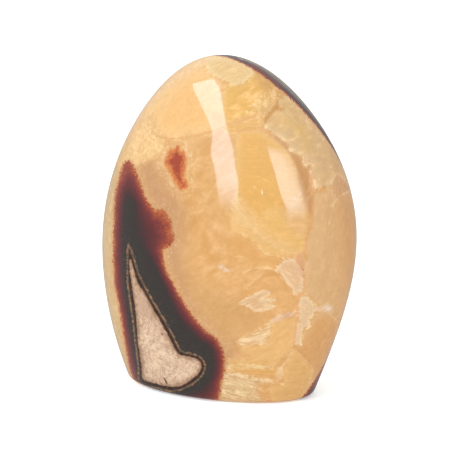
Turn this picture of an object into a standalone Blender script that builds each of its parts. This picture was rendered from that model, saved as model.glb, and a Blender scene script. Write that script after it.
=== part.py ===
"""A polished septarian stone: one solid egg of stone on a small flat foot.

The stone is a stack of level ellipses. Four Bezier curves say how their half length, half depth and
middle change with height, a dome curve closes them at the tip, and a small round eases the foot's edge.
X runs along the stone's length, its broad face looks towards -Y, and Z is up from the table.
"""

from math import asin, comb, cos, pi, sin, sqrt

import bpy

MM = 0.001

HEIGHT = 120.0
HALF_LENGTHS = (35.5, 45.5, 50.5, 60.0, 51.0, 50.0)  # Bezier controls, foot to tip, before the dome closes
HALF_DEPTHS = (20.0, 28.5, 33.0, 31.0, 28.0)
MIDDLES_X = (-2.5, -3.0, 3.0, 1.0, -1.5)  # the mass leans towards +X at mid height
MIDDLES_Y = (-0.2, -0.6, 0.6, 1.4)  # the tip lies a little behind the foot
DOME_POWER = 2.6  # higher keeps the flanks full for longer before the dome closes
FOOT_ROUND = 2.0  # radius that eases the foot's edge

SEGMENTS = 64  # around each level
FOOT_ROWS = 4  # levels in the foot's round
BODY_ROWS = 38  # levels from there to just under the tip

STONE_NAME = "stone"
HONEY = (0.80, 0.52, 0.22, 1.0)  # calcite, the colour of most of the surface
POLISH_ROUGHNESS = 0.12


def bezier(controls, share):
    """The Bezier curve of these controls, at a share from 0 to 1 of the height."""
    n = len(controls) - 1
    return sum(c * comb(n, i) * share**i * (1 - share) ** (n - i) for i, c in enumerate(controls))


def levels():
    """Heights of the rings: close together in the foot's round and towards the tip."""
    foot = [FOOT_ROUND * (1 - cos(pi / 2 * i / FOOT_ROWS)) for i in range(FOOT_ROWS)]
    low = asin(FOOT_ROUND / HEIGHT)
    body = [HEIGHT * sin(low + (pi / 2 - low) * i / BODY_ROWS) for i in range(BODY_ROWS)]
    return foot + body


def foot_inset(height):
    """How far the foot's round pulls the outline in at this height."""
    if height >= FOOT_ROUND:
        return 0.0
    return FOOT_ROUND - sqrt(FOOT_ROUND**2 - (FOOT_ROUND - height) ** 2)


def ring(height):
    """The points of the level ellipse at this height, in metres."""
    share = height / HEIGHT
    dome = sqrt(1 - share**DOME_POWER)
    half_length = dome * bezier(HALF_LENGTHS, share) - foot_inset(height)
    half_depth = dome * bezier(HALF_DEPTHS, share) - foot_inset(height)
    middle_x = bezier(MIDDLES_X, share)
    middle_y = bezier(MIDDLES_Y, share)
    angles = [2 * pi * i / SEGMENTS for i in range(SEGMENTS)]
    return [
        (
            MM * (middle_x + half_length * cos(angle)),
            MM * (middle_y + half_depth * sin(angle)),
            MM * height,
        )
        for angle in angles
    ]


def polished_stone():
    """The material of the CAD solid: one glossy honey colour."""
    material = bpy.data.materials.new("polished_septarian")
    material.use_nodes = True
    shader = material.node_tree.nodes["Principled BSDF"]
    shader.inputs["Base Color"].default_value = HONEY
    shader.inputs["Roughness"].default_value = POLISH_ROUGHNESS
    shader.inputs["Metallic"].default_value = 0.0
    return material


def stone():
    """The whole stone as one closed mesh: rings joined by quads, a fan at the tip and a flat foot."""
    rings = [ring(height) for height in levels()]
    points = [point for level in rings for point in level]
    tip = len(points)
    points.append((MM * MIDDLES_X[-1], MM * MIDDLES_Y[-1], MM * HEIGHT))

    faces = [tuple(reversed(range(SEGMENTS)))]  # the foot
    for row in range(len(rings) - 1):
        low, high = row * SEGMENTS, (row + 1) * SEGMENTS
        for i in range(SEGMENTS):
            after = (i + 1) % SEGMENTS
            faces.append((low + i, low + after, high + after, high + i))
    last = (len(rings) - 1) * SEGMENTS
    faces += [(last + i, last + (i + 1) % SEGMENTS, tip) for i in range(SEGMENTS)]

    mesh = bpy.data.meshes.new(STONE_NAME)
    mesh.from_pydata(points, [], faces)
    mesh.update()
    mesh.shade_smooth()
    mesh.set_sharp_from_angle(angle=pi / 5)
    mesh.materials.append(polished_stone())
    made = bpy.data.objects.new(STONE_NAME, mesh)
    bpy.context.scene.collection.objects.link(made)
    return made


for old in list(bpy.data.objects):
    bpy.data.objects.remove(old)

stone()
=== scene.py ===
from math import comb, cos, pi, radians, sin

import bpy
import numpy as np
from mathutils import Matrix, Vector


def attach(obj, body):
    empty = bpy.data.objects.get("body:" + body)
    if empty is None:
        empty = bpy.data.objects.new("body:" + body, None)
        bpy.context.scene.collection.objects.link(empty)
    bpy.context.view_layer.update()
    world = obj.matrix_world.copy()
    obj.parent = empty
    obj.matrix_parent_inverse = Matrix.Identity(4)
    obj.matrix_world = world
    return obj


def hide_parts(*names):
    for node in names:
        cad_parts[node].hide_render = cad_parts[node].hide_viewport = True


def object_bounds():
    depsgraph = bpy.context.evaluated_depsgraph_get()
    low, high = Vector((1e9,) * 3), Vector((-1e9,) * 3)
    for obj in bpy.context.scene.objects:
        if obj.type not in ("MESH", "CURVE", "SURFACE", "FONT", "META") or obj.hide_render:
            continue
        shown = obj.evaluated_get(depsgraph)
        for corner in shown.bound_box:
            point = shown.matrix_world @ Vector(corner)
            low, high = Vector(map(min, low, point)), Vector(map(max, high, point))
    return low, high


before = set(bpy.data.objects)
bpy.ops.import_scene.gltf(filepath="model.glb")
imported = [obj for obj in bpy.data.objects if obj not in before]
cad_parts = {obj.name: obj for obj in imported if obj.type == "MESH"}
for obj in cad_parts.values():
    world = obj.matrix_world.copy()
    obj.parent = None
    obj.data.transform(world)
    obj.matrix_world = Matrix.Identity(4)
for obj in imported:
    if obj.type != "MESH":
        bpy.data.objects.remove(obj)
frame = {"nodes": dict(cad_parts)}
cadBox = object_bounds()
print("frame loaded with", ", ".join(frame["nodes"]))

mm = 0.001

# the camera stands here, and the front's markings are drawn as they look from here
viewPoint = {
    "azimuth": 24.0,  # degrees round from -Y towards +X
    "elevation": 12.5,  # degrees above the table
    "distance": 620.0,  # mm from the middle of the stone
    "middle": (0.0, 0.0, 60.0),  # mm, half way up the stone
    "slide": (1.21, -2.32),  # mm that the camera is moved sideways and up, which frames the stone
    "lens": 136.15,  # mm
    "sensor": 36.0,  # mm wide
    "clipEnd": 50.0,  # m
}


# three unit arrows of the view: to the right, up, and back towards the camera
def viewArrows(azimuth, elevation):
    a, e = radians(azimuth), radians(elevation)
    back = np.array([sin(a) * cos(e), -cos(a) * cos(e), sin(e)])
    right = np.array([cos(a), sin(a), 0.0])
    return right, np.cross(back, right), back


right, up, back = viewArrows(viewPoint["azimuth"], viewPoint["elevation"])
middle = np.array(viewPoint["middle"])


def makeCamera(look):
    slide = right * look["slide"][0] + up * look["slide"][1]
    place = middle + back * look["distance"] + slide
    data = bpy.data.cameras.new("camera")
    data.lens = look["lens"]
    data.sensor_width = look["sensor"]
    data.clip_end = look["clipEnd"]
    camera = bpy.data.objects.new("camera", data)
    bpy.context.scene.collection.objects.link(camera)
    turn = Matrix((right, up, back)).transposed()
    camera.matrix_world = Matrix.Translation(Vector(place * mm)) @ turn.to_4x4()
    bpy.context.scene.camera = camera


makeCamera(viewPoint)
print("camera placed")

# the stone is one piece; each part of its dictionary stands beside the code that uses it
stone = {}
stone["form"] = {
    "height": 120.0,  # mm, like every length here
    "halfLengths": (35.5, 45.5, 50.5, 60.0, 51.0, 50.0),  # Bezier controls from foot to tip
    "halfDepths": (20.0, 28.5, 33.0, 31.0, 28.0),
    "middlesX": (-2.5, -3.0, 3.0, 1.0, -1.5),
    "middlesY": (-0.2, -0.6, 0.6, 1.4),
    "domePower": 2.6,  # higher keeps the flanks full for longer
    "footRound": 2.0,
    "around": 420,
    "footRows": 6,
    "roundRows": 8,
    "bodyRows": 219,
}


# the Bezier curve of the controls, at shares from 0 to 1
def bezier(controls, share):
    n = len(controls) - 1
    return sum(c * comb(n, i) * share**i * (1 - share) ** (n - i) for i, c in enumerate(controls))


# a point at height z and angle a lies at middle + spread * (dome * half length - inset) * cos(a) in x and
# the same with the half depth and sin(a) in y; rows run from the foot's middle outwards, then up to the tip
def stoneSurface(form):
    height, footRound = form["height"], form["footRound"]
    spread = np.arange(1, form["footRows"]) / form["footRows"]
    turns = np.arange(form["roundRows"]) / form["roundRows"] * pi / 2
    low = np.arcsin(footRound / height)
    climb = low + (pi / 2 - low) * np.arange(form["bodyRows"]) / form["bodyRows"]
    levels = np.concatenate([0 * spread, footRound * (1 - np.cos(turns)), height * np.sin(climb)])
    spread = np.concatenate([spread, np.ones(len(turns) + len(climb))])
    share = levels / height
    dome = np.sqrt(1 - share ** form["domePower"])
    dip = np.clip(footRound - levels, 0, None)
    inset = np.where(levels < footRound, footRound - np.sqrt(footRound**2 - dip**2), 0)
    angle = np.arange(form["around"]) / form["around"] * 2 * pi
    halfLength = spread * (dome * bezier(form["halfLengths"], share) - inset)
    halfDepth = spread * (dome * bezier(form["halfDepths"], share) - inset)
    x = bezier(form["middlesX"], share)[:, None] + halfLength[:, None] * np.cos(angle)
    y = bezier(form["middlesY"], share)[:, None] + halfDepth[:, None] * np.sin(angle)
    z = levels[:, None] + 0 * angle
    return np.stack([x, y, z], axis=-1)


# outward unit arrows: across the columns times up the rows
def outwardArrows(grid):
    across = np.roll(grid, -1, axis=1) - np.roll(grid, 1, axis=1)
    arrows = np.cross(across, np.gradient(grid, axis=0))
    return arrows / np.linalg.norm(arrows, axis=-1, keepdims=True)


# quads between neighbouring rows and columns, and a fan at each end
def gridFaces(rows, columns):
    index = np.arange(rows * columns).reshape(rows, columns)
    after = np.roll(index, -1, axis=1)
    quads = np.stack([index[:-1], after[:-1], after[1:], index[1:]], axis=-1).reshape(-1, 4)
    footPole, tipPole = rows * columns, rows * columns + 1
    foot = np.stack([0 * index[0] + footPole, after[0], index[0]], axis=-1)
    tip = np.stack([index[-1], after[-1], 0 * index[0] + tipPole], axis=-1)
    return quads.tolist() + foot.tolist() + tip.tolist()


form = stone["form"]
grid = stoneSurface(form)
rows, columns = grid.shape[:2]
footPole = (form["middlesX"][0], form["middlesY"][0], 0.0)
tipPole = (form["middlesX"][-1], form["middlesY"][-1], form["height"])
points = np.concatenate([grid.reshape(-1, 3), [footPole, tipPole]])
points = np.clip(points, np.array(cadBox[0]) / mm, np.array(cadBox[1]) / mm)  # finer rows bulge by 0.02 mm
arrows = np.concatenate([outwardArrows(grid).reshape(-1, 3), [(0, 0, -1), (0, 0, 1)]])
print("surface worked out:", len(points), "points")

# how the distances from the bands' outlines are turned into minerals
stone["bands"] = {
    "reach": 8.0,  # distances further than this from an outline aren't told apart
    "fade": 25.0,  # mm taken off past the edge of what the camera sees, so that markings end there
    "blackFrom": 1.4,  # mm inside the core's outline, where the aragonite is fully black
    "greyRange": (-4.0, -2.0),  # mm from the back's blocks, where limestone turns from warm to grey
    "behindRange": (0.12, -0.18),  # how far the surface still faces the camera, where the back begins
    "copperGap": 0.6,  # mm between a block's limestone and its copper line
}

# Markings of the front, in mm to the right of the stone's middle and above it as seen from the view point.
# Outlines run round a band or a patch, lines run along a crack.
stone["outlines"] = {
    "brownBand": [
        (-36.7, 21.1), (-34.7, 22.3), (-33.2, 20.1), (-31.6, 16.3), (-29.4, 10.2), (-27.3, 6.6), (-24.8, 4.4),
        (-22.8, 4.9), (-21.1, 2.7), (-19.8, 0.2), (-19.3, -3), (-18.6, -5.5), (-20.2, -7.8), (-22.8, -9.8),
        (-22.4, -13.7), (-21.7, -16.7), (-18.9, -22.1), (-17, -25.6), (-12.2, -33.1), (-7.8, -38.2),
        (-3.8, -41.2), (-1.5, -45.4), (-0.9, -50.8), (-2, -56.9), (-4.8, -64.3), (-18, -64.3), (-29.8, -60),
        (-32, -57.3), (-34.2, -52.6), (-35.9, -43.3), (-38.1, -30), (-39.8, -21.2), (-40.2, -9.4),
        (-39.8, 7.1), (-38.5, 14.9),
    ],
    "blackCore": [
        (-36, 10.9), (-34.1, 10), (-31.9, 6.8), (-32, 0), (-30.4, -6.6), (-25.2, -14.1), (-20.4, -24.3),
        (-16, -33.4), (-9.4, -40.7), (-5.3, -43.8), (-3.8, -49.3), (-4.8, -54.9), (-8, -58.8), (-12.8, -61.2),
        (-20.2, -62.5), (-29.6, -60), (-31.8, -55.1), (-34.1, -44.7), (-36.1, -30.8), (-37.3, -17.5),
        (-37.6, -5.9), (-37.3, 4.8),
    ],
    "copperLine": [
        (-35, -6.9), (-33.4, -10.9), (-31.6, -16.9), (-29.6, -21.4), (-26.6, -26.9), (-22.7, -33.3),
        (-19.1, -39.7), (-16.4, -45.1), (-13, -46.3), (-9.3, -47.6), (-7.5, -50.8), (-8.6, -54), (-11.6, -57),
        (-15.9, -59.2), (-19.8, -59.9), (-25.5, -58.6), (-31, -57), (-31.6, -50.4), (-32.7, -41.5),
        (-33.9, -31.5), (-35.3, -21.9), (-35.5, -13.7),
    ],
    "wedge": [
        (-34.5, -12.3), (-33.4, -15.1), (-31.8, -20.7), (-29.3, -24.9), (-25.5, -31.7), (-21.7, -38.2),
        (-19.3, -42.9), (-17.1, -46.5), (-13.8, -47.4), (-10.9, -48.2), (-9, -50.2), (-9.7, -53.1),
        (-12.5, -55.6), (-16, -57.8), (-19.8, -58.2), (-24.6, -57.2), (-29.7, -55.4), (-30.3, -51.1),
        (-31.6, -41.5), (-32.3, -32.6), (-33.5, -23.7), (-34.5, -16.6),
    ],
    "wedgeLow": [
        (-30.9, -33), (-28, -33.7), (-24.4, -38), (-20.2, -43.7), (-15.9, -47.2), (-10.5, -49), (-9.8, -52.2),
        (-15.2, -56.5), (-21.6, -57.2), (-28, -55.1), (-29.8, -48.6), (-30.9, -40.1),
    ],
    "rimStain": [
        (8.3, 56.1), (10.1, 55.1), (11.9, 54), (13.7, 52.6), (15.5, 50.9), (17.2, 49.4), (19, 47.8),
        (20.3, 47.2), (19.7, 48.3), (18, 50.3), (15.8, 52.2), (13.7, 53.9), (11.2, 55.6), (9.1, 56.7),
    ],
    "bulge": [
        (-26.6, 6.6), (-24.4, 5.9), (-22.7, 5.5), (-20.9, 3.4), (-19.8, 0.5), (-18.7, -2.7), (-19.5, -5.5),
        (-21.6, -7.3), (-23.7, -6.6), (-24.8, -3.7), (-25.9, -0.9), (-26.9, 2.7),
    ],
    "rustSpot": [
        (-17.1, 27.8), (-16.3, 26.4), (-14.6, 24.6), (-14.3, 21.9), (-14.8, 18.7), (-15.2, 16.4),
        (-13.8, 14.1), (-14.3, 12.5), (-16, 11.9), (-17.3, 13), (-18.6, 15.1), (-19.7, 17.4), (-21.1, 20),
        (-22, 21.9), (-20.9, 24.3), (-19.8, 26.4), (-18.2, 26.7),
    ],
}
bands = stone["bands"]


# a Catmull-Rom curve: each stretch is the cubic through two points that leaves them along their neighbours
def smoothCurve(outline, closed, steps=5):
    p1 = np.array(outline, float)
    if closed:
        p0, p2, p3 = np.roll(p1, 1, 0), np.roll(p1, -1, 0), np.roll(p1, -2, 0)
    else:
        ends = np.concatenate([p1[:1], p1, p1[-1:]])
        p0, p1, p2, p3 = ends[:-3], ends[1:-2], ends[2:-1], ends[3:]
    t = np.linspace(0, 1, steps, endpoint=False)[None, :, None]
    p0, p1, p2, p3 = p0[:, None], p1[:, None], p2[:, None], p3[:, None]
    bend = (2 * p0 - 5 * p1 + 4 * p2 - p3) * t**2 + (3 * p1 - p0 - 3 * p2 + p3) * t**3
    curve = (p1 + (p2 - p0) * t / 2 + bend / 2).reshape(-1, 2)
    return curve if closed else np.concatenate([curve, [outline[-1]]])


# distance from each spot to the nearest stretch of the curve, positive inside a closed one
def curveDistance(spots, outline, closed, reach):
    curve = smoothCurve(outline, closed)
    starts = curve if closed else curve[:-1]
    ends = np.roll(curve, -1, 0) if closed else curve[1:]
    nearest = np.full(len(spots), reach)
    inside = np.zeros(len(spots), bool)
    close = np.all((spots > curve.min(0) - reach) & (spots < curve.max(0) + reach), axis=1)
    x, y = spots[close].T
    gap, within = nearest[close], inside[close]
    for (x0, y0), (x1, y1) in zip(starts, ends):
        dx, dy = x1 - x0, y1 - y0
        share = np.clip(((x - x0) * dx + (y - y0) * dy) / (dx * dx + dy * dy + 1e-12), 0, 1)
        gap = np.minimum(gap, np.hypot(x - x0 - share * dx, y - y0 - share * dy))
        if closed and y0 != y1:
            within ^= ((y0 > y) != (y1 > y)) & (x < x0 + (y - y0) * dx / dy)
    nearest[close], inside[close] = gap, within
    return np.where(inside, nearest, -nearest)


# where each point of the surface shows in the picture, and how squarely it faces the camera
fromMiddle = points - middle
depth = viewPoint["distance"] - fromMiddle @ back
spots = np.stack([fromMiddle @ right, fromMiddle @ up], axis=1) * (viewPoint["distance"] / depth)[:, None]
sight = middle + back * viewPoint["distance"] - points
facing = np.sum(sight * arrows, axis=1) / np.linalg.norm(sight, axis=1)


def frontDistance(outline, closed=True):
    seen = curveDistance(spots, outline, closed, bands["reach"]) + bands["fade"] * np.minimum(facing, 0)
    return np.clip(seen, -bands["reach"], bands["reach"])


# Limestone blocks at the back. Each is what lies beyond all of its flat cracks; a crack is given by the
# direction it faces, as azimuth and elevation, and its distance from the stone's middle in mm.
# The skin is the mm of aragonite round the limestone.
stone["blocks"] = {
    "upper": {"cracks": [(163.0, 26.0, 25.2), (60.0, 62.0, -8.0), (120.0, 10.0, -3.0)], "skin": 1.7},
    "lowRight": {"cracks": [(150.0, -32.7, 41.2)], "skin": 6.0},
    "lowLeft": {"cracks": [(215.0, -10.0, 31.0), (250.0, -70.0, 8.0)], "skin": 2.2},
    "wander": 1.5,  # mm that the cracks stray from flat at the back
    "wanderFrom": 3.0,  # mm behind the stone's middle, where they begin to
    "wanderOver": 15.0,  # mm over which that grows
}


# straight zigzags between -1 and 1 that repeat each whole step
def zigzag(steps):
    return 4 * np.abs(steps - np.floor(steps + 0.5)) - 1


# How deep each point lies in a block: the least of its distances past the cracks, and the most over the
# blocks. Also how deep it lies past the aragonite skin, and its share of the way through that skin. The
# zigzags are as many mm long along x, y and z as they are divided by.
def blockDepths(blocks):
    x, y, z = fromMiddle.T
    away = np.clip((y - blocks["wanderFrom"]) / blocks["wanderOver"], 0, 1) * blocks["wander"]
    stray = away * (zigzag(x / 37 + z / 49) + 0.6 * zigzag(z / 23 - x / 61 + y / 44))
    deepest = np.full(len(points), -bands["reach"])
    core, share = deepest, deepest
    for block in (blocks["upper"], blocks["lowRight"], blocks["lowLeft"]):
        inside = np.full(len(points), bands["reach"])
        for azimuth, elevation, distance in block["cracks"]:
            outwards = viewArrows(azimuth, elevation)[2]
            inside = np.minimum(inside, fromMiddle @ outwards + stray - distance)
        deepest = np.maximum(deepest, inside)
        core = np.maximum(core, inside - block["skin"])
        share = np.maximum(share, inside / block["skin"])
    return deepest, core, np.clip(share, 0, 1)


# A patch of calcite, in mm: the colours at its edge and in its middle, its outline, the width of the change
# between the colours, how soft and how ragged its edge is, its grain and how strongly that shows, how
# strongly it covers what lies under it, and how much of a pale rim it has
def calcite(edge, middle, outline, change=2.0, soft=0.5, ragged=0.8, grain="upright", streaks=0.6,
            cover=1.0, rim=0.0):
    return {
        "edge": edge, "middle": middle, "outline": outline, "change": change, "soft": soft,
        "ragged": ragged, "grain": grain, "streaks": streaks, "cover": cover, "rim": rim,
    }


# painted one over the other
stone["patches"] = {
    "greyTan": calcite("C3956D", "C1926B", [
        (-33, 26.2), (-27.3, 23.3), (-20.9, 14.1), (-15.2, 6.2), (-14.5, -3), (-15.2, -13.7), (-10.9, -24.4),
        (-4.5, -33), (3.3, -42.6), (1.9, -56.8), (-2, -64.3), (-4.5, -52.9), (-9.5, -39.7), (-16.6, -27.3),
        (-22.7, -13.7), (-24.4, -0.5), (-29.1, 8.4), (-31.9, 18.4),
    ], change=3.0, soft=5.0, ragged=1.2, grain="rising", streaks=0.4, cover=0.85),
    "lowShade": calcite("D3A570", "CEA069", [
        (-13.8, -21.6), (-7.3, -22.3), (3.3, -26.6), (12.6, -30.8), (10.5, -36.5), (4.1, -39), (0.5, -43.3),
        (-5.2, -38.7), (-10.9, -30.1),
    ], change=4.0, soft=3.5, ragged=1.0, grain="rising", streaks=0.5, cover=0.8),
    "paleShoulder": calcite("F6CC8E", "F8D091", [
        (-43, 11.9), (-41.6, 21.9), (-38, 30.5), (-33.7, 38.3), (-28.7, 45.1), (-23, 51.1), (-16.6, 56.5),
        (-8.8, 60.4), (-0.2, 62.5), (1.2, 58.3), (-5.2, 55.8), (-11.6, 53.6), (-17.7, 49), (-23.4, 42.6),
        (-27.3, 36.2), (-26.9, 31.9), (-23.7, 29.4), (-26.6, 23.7), (-31.6, 21.6), (-35.9, 19.8),
        (-39.4, 14.8),
    ], change=3.0, soft=2.2, ragged=1.2, grain="rising", streaks=0.8, cover=0.95),
    "shoulderLow": calcite("DCAE75", "DFB279", [
        (-43, 9.8), (-41.6, 19.8), (-38.3, 26.9), (-35.1, 31.9), (-31.6, 32.6), (-30.9, 29), (-33.7, 25.5),
        (-36.6, 21.9), (-39.1, 16.9), (-40.8, 11.9),
    ], change=3.0, soft=2.4, ragged=1.2, grain="rising", streaks=0.8, cover=0.9),
    "upperLeft": calcite("EEC187", "EDB979", [
        (-26.9, 36.9), (-25.2, 41.9), (-20.9, 48.3), (-15.2, 52.9), (-9.5, 55.1), (-4.5, 54), (-2, 48.3),
        (-0.2, 41.2), (1.9, 36.2), (-2, 34.2), (-7, 32.4), (-13, 31), (-19.5, 30.3), (-23.7, 31.5),
    ], change=6.0, soft=2.6, grain="rising"),
    "crackShade": calcite("EABA7C", "E6B070", [
        (-5.6, 39.7), (-3.8, 40.3), (-1.6, 39.7), (-0.2, 39), (0.9, 37.6), (0.5, 35.8), (-1.6, 34.7),
        (-4.1, 33.5), (-5.6, 34.4), (-6.1, 37.2),
    ], change=1.5, soft=1.6, ragged=1.0, grain="rising", cover=0.7),
    "paleYellow": calcite("E4BA82", "EEC48B", [
        (-35.1, 33.3), (-31.6, 37.6), (-28, 39), (-25.5, 37.2), (-24.4, 33), (-22, 29.4), (-22.3, 25.5),
        (-25.5, 23.3), (-29.4, 22.6), (-33, 21.6), (-36.2, 23.3), (-36.9, 28),
    ], change=4.0, soft=1.8, ragged=1.0, grain="falling", streaks=1.3),
    "shoulderRim": calcite("E7BC89", "EFC89C", [
        (-43.7, 20.8), (-40.8, 26.9), (-37.3, 33.3), (-33, 39.4), (-28.4, 44.7), (-23.4, 49.7), (-17.3, 54.3),
        (-10.9, 57.9), (-5.2, 59.7), (-5.2, 57.6), (-10.2, 55.4), (-15.9, 51.9), (-21.6, 47.2), (-25.9, 42.6),
        (-29.4, 38), (-33, 32.6), (-37.3, 26.9), (-40.8, 20.5),
    ], soft=1.8, ragged=1.2, grain="fine", streaks=0.5, cover=0.95),
    "leftStrip": calcite("D2AE7F", "D6B687", [
        (-40.1, 20.5), (-38.5, 18.4), (-39.4, 11.9), (-40, 3), (-40.3, -11.2), (-40, -23.7), (-38, -34.4),
        (-35.5, -48.6), (-34.1, -54.7), (-37.3, -55.1), (-43, -38), (-45.8, -20.1), (-45.8, 3), (-43.7, 13.7),
    ], soft=1.5, ragged=0.7, streaks=1.2, cover=0.95),
    "topGold": calcite("E3B469", "E2AE61", [
        (0.5, 49.7), (5.1, 49.7), (9.8, 53.3), (13, 51.5), (15.5, 47.9), (16.5, 44.7), (13.3, 42.6),
        (11.5, 39.4), (7.6, 38), (3.3, 36.9), (0.5, 36.2), (-0.9, 40.4), (-0.6, 45.8),
    ], change=3.0, soft=1.0, grain="mottled", streaks=1.8, rim=0.15),
    "topTan": calcite("CF9F61", "D09E5B", [
        (8.3, 57.6), (12.6, 56.1), (17.6, 51.9), (22.6, 46.9), (21.2, 44), (18, 44.4), (14.8, 46.5),
        (12.6, 48.3), (10.5, 51.9),
    ], soft=1.4, streaks=0.8, cover=0.9),
    "topPale": calcite("E8C892", "E2BC83", [
        (-6.6, 57.9), (-2.4, 59.3), (3, 58.6), (7.6, 56.3), (9.8, 53.7), (8, 51.5), (5.2, 49.5), (1.9, 48.8),
        (-0.4, 50.8), (-3.8, 52.2), (-6.3, 54.7),
    ], soft=0.7, ragged=1.6, grain="feather", streaks=1.8, rim=0.45),
    "paleFeather": calcite("D4A058", "DAB06D", [
        (11.5, 45.4), (14, 46.5), (16.5, 44.4), (17.6, 41.9), (15.5, 39.4), (13, 38), (11.2, 39.7),
        (12.6, 42.6),
    ], change=1.5, soft=0.8, ragged=1.6, grain="feather", streaks=1.4, cover=0.9, rim=0.25),
    "crackBand": calcite("E3B573", "E0AE6C", [
        (-1.4, 34.4), (1.3, 35.4), (5.2, 36.2), (8.5, 37.3), (10.8, 38.1), (12.8, 37.2), (11.9, 34.7),
        (10.2, 33.8), (7.6, 33.7), (5.1, 32.8), (2.6, 31.9), (-0.2, 32.3),
    ], change=1.0, soft=0.6, ragged=0.3, grain="level", streaks=1.2, rim=0.15),
    "belowBlade": calcite("DDA969", "D9A264", [
        (2.6, -4.1), (7.3, -5.9), (10.8, -8.4), (13, -10.9), (16.2, -12.3), (18.7, -13), (17.2, -15.5),
        (12.6, -14.8), (7.6, -14.1), (4.1, -11.6), (1.2, -8),
    ], soft=1.4, ragged=1.0, grain="falling", cover=0.8),
    "rightSide": calcite("DAB181", "D7AD7C", [
        (39, 16.9), (44, 13.4), (47.5, 3), (47.5, -13.7), (44.7, -30.1), (39.7, -45.8), (34, -59.3),
        (29, -63.6), (27.2, -61.1), (30.4, -53.6), (29.4, -49.4), (25.8, -45.8), (25.1, -42.6), (29.4, -37.2),
        (31.1, -33), (33.3, -30.1), (29, -25.8), (27.6, -21.9), (28.3, -13.7), (29, -7.7), (30.1, -1.6),
        (30.8, 3.7), (31.5, 10.2), (36.1, 11.6),
    ], change=6.0, soft=1.0, cover=0.95),
    "rightFar": calcite("D9AA76", "D3A372", [
        (39.3, 6.9), (42.6, 10.5), (47.5, 6.9), (50.4, -9.4), (47.5, -27.3), (43.3, -40.8), (38.3, -38.7),
        (40.8, -27.3), (40.4, -13.7), (39, -3),
    ], change=4.0, soft=3.5, ragged=1.0, cover=0.9),
    "rightLow": calcite("DCA86D", "D4A068", [
        (31.1, -35.1), (35.4, -33), (39.7, -35.5), (39, -43.3), (35.4, -52.9), (31.1, -55.8), (30.1, -50.8),
        (26.9, -47.2), (25.8, -44.7), (29.4, -38.3),
    ], soft=1.5, streaks=0.7, cover=0.8),
    "blade": calcite("E3B676", "E0AB62", [
        (4.1, 31.9), (7.6, 33.3), (10.8, 33.3), (14, 31.9), (17.6, 29), (21.2, 26.2), (23.7, 21.6),
        (25.4, 14.8), (27, 8.4), (28.3, 4.1), (29.3, 1.6), (28.8, -1.6), (28.3, -5.2), (27.8, -8.9),
        (25, -11.2), (20.7, -11.9), (15.5, -11.2), (12.8, -9.8), (10.8, -7.2), (7.6, -5), (4.9, -3),
        (2.8, -2), (2.3, 1.6), (2.6, 7.3), (3.3, 13.7), (3.3, 22.6),
    ], change=3.0, soft=0.8, ragged=1.0, grain="level", streaks=0.8),
    "bladeFoot": calcite("E5BD7D", "E6B978", [
        (4.8, 4.1), (10.5, 3.4), (16.9, 5.5), (23.3, 3.4), (26.9, 0.5), (27.2, -3), (26.2, -6.9),
        (22.6, -9.4), (17.6, -9.4), (14, -7.7), (11.2, -4.8), (7.6, -2.7), (4.8, -0.2),
    ], change=6.0, soft=2.6, grain="level", streaks=1.2, cover=0.5),
    "bladeCorner": calcite("E2B67D", "E7BF89", [
        (1.6, 9.1), (4.8, 9.4), (7.6, 6.2), (10.5, 1.2), (14.8, -3.7), (20.5, -6.9), (25.4, -8.7),
        (23.3, -10.9), (17.6, -10.2), (12.6, -7.3), (7.6, -3.7), (3.3, -1.6), (1.2, 3.4),
    ], change=2.5, soft=2.0, ragged=1.2, grain="fibre", streaks=0.7, cover=0.75),
    # paler at the blade's lower right: partly the blade's own pale edge, partly a painted highlight where the
    # right panel's reflection fades out
    "bladeRight": calcite("DBAD74", "E0B37E", [
        (21.2, 6.9), (25.4, 9.8), (28.7, 6.2), (29.4, 2), (29, -3), (25.4, -4.5), (21.9, -0.9), (19.7, 3.4),
    ], soft=2.2, ragged=1.0, grain="level", cover=0.8),
    "tanWedge": calcite("CF9E6D", "C99561", [
        (15.8, 32.3), (19, 30.8), (21.5, 28.3), (23, 26), (25.8, 24.6), (27.4, 22.6), (27.9, 20.5),
        (30.1, 21), (30.1, 17.3), (31.5, 14.8), (31.3, 9.8), (30.6, 3.4), (29.4, 3.4), (27.6, 7.7),
        (26, 12.7), (24.4, 20.8), (21.5, 25.8), (18, 29),
    ], change=1.5, ragged=1.5, streaks=1.2, rim=0.35),
    "olive": calcite("DFB98B", "D5AE7B", [
        (13.5, 36.2), (14.8, 39.7), (18, 42.6), (20.5, 45.4), (24.7, 44.7), (31.1, 39.7), (37.6, 31.9),
        (42.6, 23.3), (45.4, 14.1), (42.9, 14.1), (40.8, 16.2), (39.7, 16.9), (37.9, 15.5), (36.8, 12.5),
        (34.4, 12.8), (31.7, 12.3), (31.6, 15.5), (30.3, 17.5), (30.3, 21.4), (27.7, 20.4), (28, 23.7),
        (25.7, 25.1), (22.7, 26.4), (21.4, 28.7), (19.1, 31), (16.1, 32), (14.8, 33.3),
    ], change=2.2, ragged=1.1, grain="mottled", streaks=1.8, rim=0.35),
    "oliveGold": calcite("DAB274", "D5AA6A", [
        (13, 40.4), (14.8, 42.2), (17.2, 43.3), (20.1, 43.7), (23, 41.9), (25.8, 38.3), (28.3, 34),
        (30.1, 29.4), (30.4, 25.8), (27.9, 26.2), (26.2, 29.4), (23.7, 32.6), (20.5, 34.7), (16.9, 35.5),
        (14, 37.6),
    ], change=3.0, soft=2.4, ragged=1.4, grain="mottled", streaks=1.4, cover=0.85),
    "oliveDark": calcite("D9B07C", "D5AA70", [
        (12.3, 39.7), (14, 41.9), (16.2, 42.9), (19.7, 42.2), (23.3, 39.4), (22.6, 37.2), (19.7, 37.2),
        (16.2, 36.5), (13.3, 36.5),
    ], soft=1.8, ragged=1.6, grain="mottled", streaks=1.2, cover=0.95),
    "pearls": calcite("D2AC78", "D8B784", [
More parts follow.
